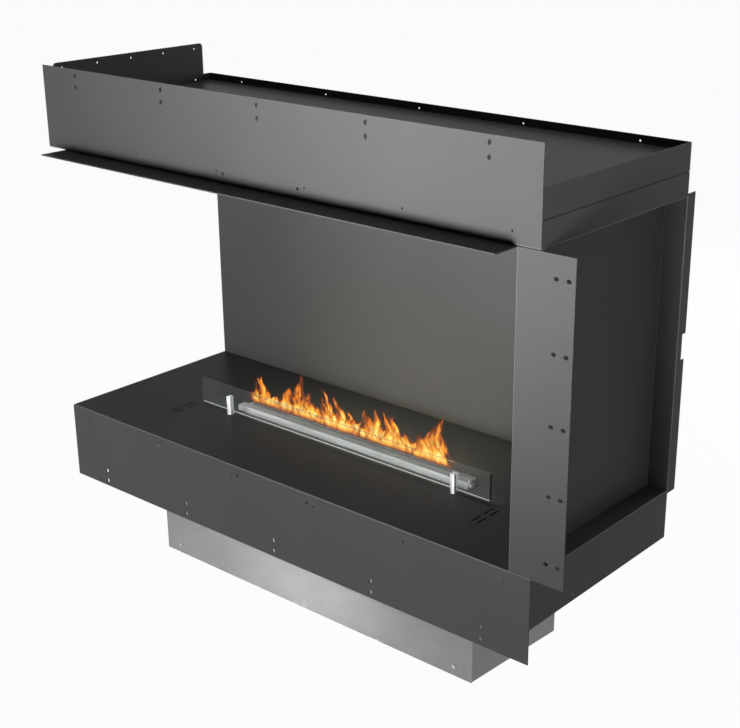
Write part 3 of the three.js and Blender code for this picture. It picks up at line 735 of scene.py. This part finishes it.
class FIREPLACE_OT_posts(bpy.types.Operator):
    """Turned chrome posts with a slot for the glass"""

    bl_idname = "fireplace.posts"
    bl_label = "Glass posts"

    def execute(self, context):
        finish = context.scene.fireplace_finish
        chrome = satin_chrome()
        glass_low, glass_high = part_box("glass_shield")
        for side in ("left", "right"):
            low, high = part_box("glass_post_" + side)
            centre = ((low.x + high.x) / 2, (low.y + high.y) / 2, low.z)
            radius = (high.x - low.x) / 2
            height = high.z - low.z
            shoulder = 0.4 * POST_CHAMFER
            profile = [(radius, 0.0), (radius, height - POST_CHAMFER),
                       (radius - shoulder, height - shoulder), (radius - POST_CHAMFER, height)]
            slot_box = box_mesh(
                (low.x - SLOT_PASS, glass_low.y - SLOT_GAP, glass_low.z - SLOT_GAP),
                (high.x + SLOT_PASS, glass_high.y + SLOT_GAP, high.z + SLOT_PASS), "slot_tool")
            body = cut(turned(profile, centre, "post_" + side), slot_box)
            mesh = bevelled(body, finish.post_edge, POST_BEVEL_ANGLE)
            post = piece("wind_post_" + side, mesh, chrome, CASING)
            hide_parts("glass_post_" + side)
        return {"FINISHED"}


class FIREPLACE_OT_glass(bpy.types.Operator):
    """Clear wind shield with ground edges"""

    bl_idname = "fireplace.glass"
    bl_label = "Glass"

    # material name, opacity, and lightness of each kind of edge, in the order of EDGE, FOOT and
    # END; the foot's lightness is a painted highlight and the end's darkness painted shade
    edges = (("glass_edge", 0.04, 1.0), ("glass_foot_edge_painted_highlight", 0.9, 1.35),
             ("glass_end_edge_painted_shade", 0.9, 0.06))
    EDGE, FOOT, END = 1, 2, 3

    def execute(self, context):
        finish = context.scene.fireplace_finish
        low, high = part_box("glass_shield")
        mesh = bevelled(box_mesh(low, high, "pane"), finish.glass_edge, PANE_BEVEL_ANGLE)
        rim = high.z - CLEAR_RIM
        bm = bmesh.new()
        bm.from_mesh(mesh)
        bmesh.ops.bisect_plane(bm, geom=[*bm.verts, *bm.edges, *bm.faces],
                               plane_co=(0, 0, rim), plane_no=(0, 0, 1))
        bm.to_mesh(mesh)
        bm.free()
        pane = piece("wind_shield_pane", mesh, clear_glass(), GLASS, smooth=False)
        for edge in self.edges:
            mesh.materials.append(ground_edge(*edge))
        for polygon in mesh.polygons:
            normal = polygon.normal
            if abs(normal.y) < 0.99:
                polygon.material_index = self.EDGE
                if normal.z < -0.5:
                    polygon.material_index = self.FOOT
                elif normal.x > 0.5:
                    polygon.material_index = self.END
            elif normal.y > 0 and polygon.center.z > rim:
                polygon.material_index = self.EDGE
        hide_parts("glass_shield")
        return {"FINISHED"}


class FIREPLACE_OT_flames(bpy.types.Operator):
    """Row of flames above the burner slot"""

    bl_idname = "fireplace.flames"
    bl_label = "Flames"

    # foot along the row, share of the tallest flame's height, lean of the tip, half width
    tall = (
        (0.018, 0.52, -0.010, 0.012), (0.070, 0.72, -0.014, 0.020), (0.130, 0.42, -0.004, 0.018),
        (0.178, 0.64, 0.002, 0.018), (0.262, 1.00, -0.012, 0.026), (0.300, 0.66, 0.004, 0.022),
        (0.420, 0.88, -0.030, 0.018), (0.470, 0.80, -0.006, 0.024), (0.520, 0.56, 0.004, 0.020),
        (0.610, 0.66, -0.006, 0.020), (0.652, 0.76, -0.012, 0.018), (0.712, 0.80, -0.014, 0.016),
        (0.748, 0.86, -0.016, 0.018), (0.790, 0.50, -0.006, 0.018), (0.862, 0.58, 0.004, 0.018),
        (0.900, 0.80, 0.004, 0.020), (0.935, 1.06, 0.010, 0.020), (0.968, 0.56, -0.012, 0.014),
        (-0.016, 0.36, 0.030, 0.0050), (1.034, 0.44, -0.036, 0.0055),
    )

    def plan(self, rng, flames, middle):
        """Tongues of one sheet, their feet as shares of the row; the middle sheet has them all."""
        tongues = []
        for share, part, lean, half in self.tall:
            if middle or (half > LEAST_HALF_WIDTH and rng.random() < 0.7):
                tongues.append((share + (0 if middle else rng.uniform(-0.012, 0.012)),
                                part * flames.height * (1 if middle else rng.uniform(0.6, 0.92)),
                                lean, half * rng.uniform(0.9, 1.1), rng.uniform(0, FULL_TURN)))
        for i in range(flames.tongues):
            tongues.append(((i + rng.uniform(0.1, 0.9)) / flames.tongues,
                            rng.uniform(0.22, 0.42) * flames.height, rng.uniform(-0.008, 0.008),
                            rng.uniform(0.014, 0.024), rng.uniform(0, FULL_TURN)))
        return tongues

    def execute(self, context):
        flames = context.scene.fireplace_flames
        low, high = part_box("burner_body")
        start = Vector((low.x + FLAME_START, high.y - FLAME_INSET, high.z - FLAME_DROP))
        length = high.x - FLAME_END - start.x
        rng = random.Random(flames.seed)
        gas = flame_gas(flames.strength)
        for layer, depth in enumerate(LAYER_DEPTHS):
            tongues = [(share * length, *rest)
                       for share, *rest in self.plan(rng, flames, layer == MIDDLE_LAYER)]
            name = f"flame_curtain_{layer + 1}"
            mesh = curtain(start, length, flames.height * FLAME_HEADROOM, tongues, depth,
                           flames.seed + LAYER_SEED_STEP * layer, name)
            sheet = piece(name, mesh, gas, CASING, smooth=False)
            sheet.visible_diffuse = False
            sheet.visible_glossy = False
            sheet.visible_shadow = False
        return {"FINISHED"}


class FIREPLACE_OT_glow(bpy.types.Operator):
    """Warm light that the flames throw on the walls and the hearth"""

    bl_idname = "fireplace.glow"
    bl_label = "Glow"

    def execute(self, context):
        flames = context.scene.fireplace_flames
        low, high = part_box("burner_body")
        middle = Vector(((low.x + high.x) / 2, high.y - FLAME_INSET, high.z + GLOW_RISE))
        for name, toward, power in (("glow_back", GLOW_BACK, flames.glow),
                                    ("glow_front", GLOW_FRONT, flames.glow * GLOW_FRONT_SHARE)):
            light = area_light(name, middle, toward, GLOW_SIZE, power)
            light.data.color = flames.glow_colour
            light.visible_glossy = False
        return {"FINISHED"}


class FIREPLACE_OT_studio(bpy.types.Operator):
    """Plain floor, soft light and the camera"""

    bl_idname = "fireplace.studio"
    bl_label = "Studio"

    # name, place, point aimed at, size, power setting, share of that power, spread in degrees
    softboxes = (
        ("key_light", (0.3, -2.6, 0.45), (0.1, -0.2, 0.6), (1.6, 0.5), "key_power", 1.0, 180),
        ("panel_light", (0.7, -1.8, 0.5), (0.3, -0.2, 1.25), (0.8, 0.4), "panel_power", 1.0, 60),
        ("corner_light", (-1.7, -2.1, 0.5), (0.0, -0.12, 0.3), (0.4, 0.5),
         "corner_power", 1.0, 180),
        ("corner_light_near", (-1.3, -1.6, 0.3), (0.0, -0.12, 0.3), (0.3, 0.3),
         "corner_power", 0.35, 180),
        ("housing_light", (-0.72, -1.10, 0.03), (0.03, -0.12, 0.03), (0.3, 0.03),
         "corner_power", 0.0017, 12),
        ("hearth_light", (0.15, -0.05, 0.86), (0.15, -0.05, 0.1), (0.6, 0.2),
         "hearth_power", 1.0, 180),
        ("side_light", (2.6, 0.1, 0.9), (0.6, 0.0, 0.6), (1.2, 1.2), "side_power", 1.0, 180),
        ("back_light", (0.5, 2.9, 1.2), (0.0, 0.2, 0.6), (1.8, 1.2), "back_power", 1.0, 180),
        ("left_light", (-2.8, 0.3, 0.35), (-0.6, 0.0, 0.65), (1.4, 0.5), "back_power", 0.13, 50),
        ("top_light", (0.0, 0.2, 2.6), (0.0, 0.0, 1.0), (1.6, 1.2), "top_power", 1.0, 180),
    )

    def execute(self, context):
        studio = context.scene.fireplace_studio
        scene = context.scene
        scene.view_settings.view_transform = "Standard"
        self.floor(scene, tuple(studio.floor_colour))
        self.world(scene, studio.ambient)
        for name, place, target, size, setting, share, spread in self.softboxes:
            toward = Vector(target) - Vector(place)
            light = area_light(name, place, toward, size, getattr(studio, setting) * share)
            light.data.spread = math.radians(spread)
        self.camera(scene, studio.focal_length)
        return {"FINISHED"}

    @staticmethod
    def floor(scene, colour):
        """Plain floor under the object and all round it."""
        bm = bmesh.new()
        bmesh.ops.create_grid(bm, x_segments=8, y_segments=8, size=FLOOR_SIZE)
        mesh = mesh_from(bm, "studio_floor")
        floor = bpy.data.objects.new("studio_floor", mesh)
        floor.location.z = -FLOOR_DROP
        scene.collection.objects.link(floor)
        mesh.materials.append(studio_floor_paint(colour))

    @staticmethod
    def world(scene, ambient):
        """Near-white surroundings for the camera and mirrors, and the ambient level elsewhere."""
        world = bpy.data.worlds.new("studio_world")
        scene.world = world
        world.use_nodes = True
        nodes, links = world.node_tree.nodes, world.node_tree.links
        background = nodes["Background"]
        background.inputs["Color"].default_value = (1, 1, 1, 1)
        level = nodes.new("ShaderNodeMapRange")
        level.inputs["To Min"].default_value = ambient
        level.inputs["To Max"].default_value = WORLD_SEEN
        links.new(background_rays(nodes, links), level.inputs["Value"])
        links.new(level.outputs["Result"], background.inputs["Strength"])

    @staticmethod
    def camera(scene, focal_length):
        """Camera at the photograph's viewing angle."""
        camera = bpy.data.cameras.new("camera")
        camera.sensor_width = SENSOR_WIDTH
        camera.lens = focal_length
        camera.shift_x, camera.shift_y = CAMERA_SHIFT
        camera.clip_end = CAMERA_FAR
        obj = bpy.data.objects.new("camera", camera)
        scene.collection.objects.link(obj)
        azimuth, elevation = math.radians(CAMERA_AZIMUTH), math.radians(CAMERA_ELEVATION)
        back = Vector((math.sin(azimuth) * math.cos(elevation),
                       -math.cos(azimuth) * math.cos(elevation), math.sin(elevation)))
        right = Vector((math.cos(azimuth), math.sin(azimuth), 0.0))
        up = back.cross(right)
        turn = Matrix((right, up, back)).transposed().to_4x4()
        obj.matrix_world = Matrix.Translation(CAMERA_PLACE) @ turn
        scene.camera = obj


class FIREPLACE_PT_panel(bpy.types.Panel):
    """Steps that dress the fireplace"""

    bl_idname = "FIREPLACE_PT_panel"
    bl_label = "Corner fireplace"
    bl_space_type = "VIEW_3D"
    bl_region_type = "UI"
    bl_category = "Fireplace"

    def draw(self, context):
        layout = self.layout
        for group in GROUPS:
            settings = getattr(context.scene, group)
            box = layout.box()
            for name in settings.__annotations__:
                box.prop(settings, name)
        for operator in OPERATORS:
            layout.operator(operator.bl_idname)


OPERATORS = (
    FIREPLACE_OT_casing,
    FIREPLACE_OT_housing,
    FIREPLACE_OT_burner,
    FIREPLACE_OT_posts,
    FIREPLACE_OT_glass,
    FIREPLACE_OT_flames,
    FIREPLACE_OT_glow,
    FIREPLACE_OT_studio,
)
GROUPS = {
    "fireplace_finish": FireplaceFinish,
    "fireplace_flames": FireplaceFlames,
    "fireplace_studio": FireplaceStudio,
}


def register():
    for group in GROUPS.values():
        bpy.utils.register_class(group)
    for operator in OPERATORS:
        bpy.utils.register_class(operator)
    bpy.utils.register_class(FIREPLACE_PT_panel)
    for name, group in GROUPS.items():
        setattr(bpy.types.Scene, name, bpy.props.PointerProperty(type=group))


def unregister():
    for name in GROUPS:
        delattr(bpy.types.Scene, name)
    bpy.utils.unregister_class(FIREPLACE_PT_panel)
    for operator in reversed(OPERATORS):
        bpy.utils.unregister_class(operator)
    for group in reversed(list(GROUPS.values())):
        bpy.utils.unregister_class(group)


def main():
    register()
    for operator in OPERATORS:
        step = getattr(bpy.ops.fireplace, operator.bl_idname.split(".")[1])
        if step() != {"FINISHED"}:
            raise RuntimeError(f"{operator.bl_label} did not finish")


if __name__ == "__main__":
    main()
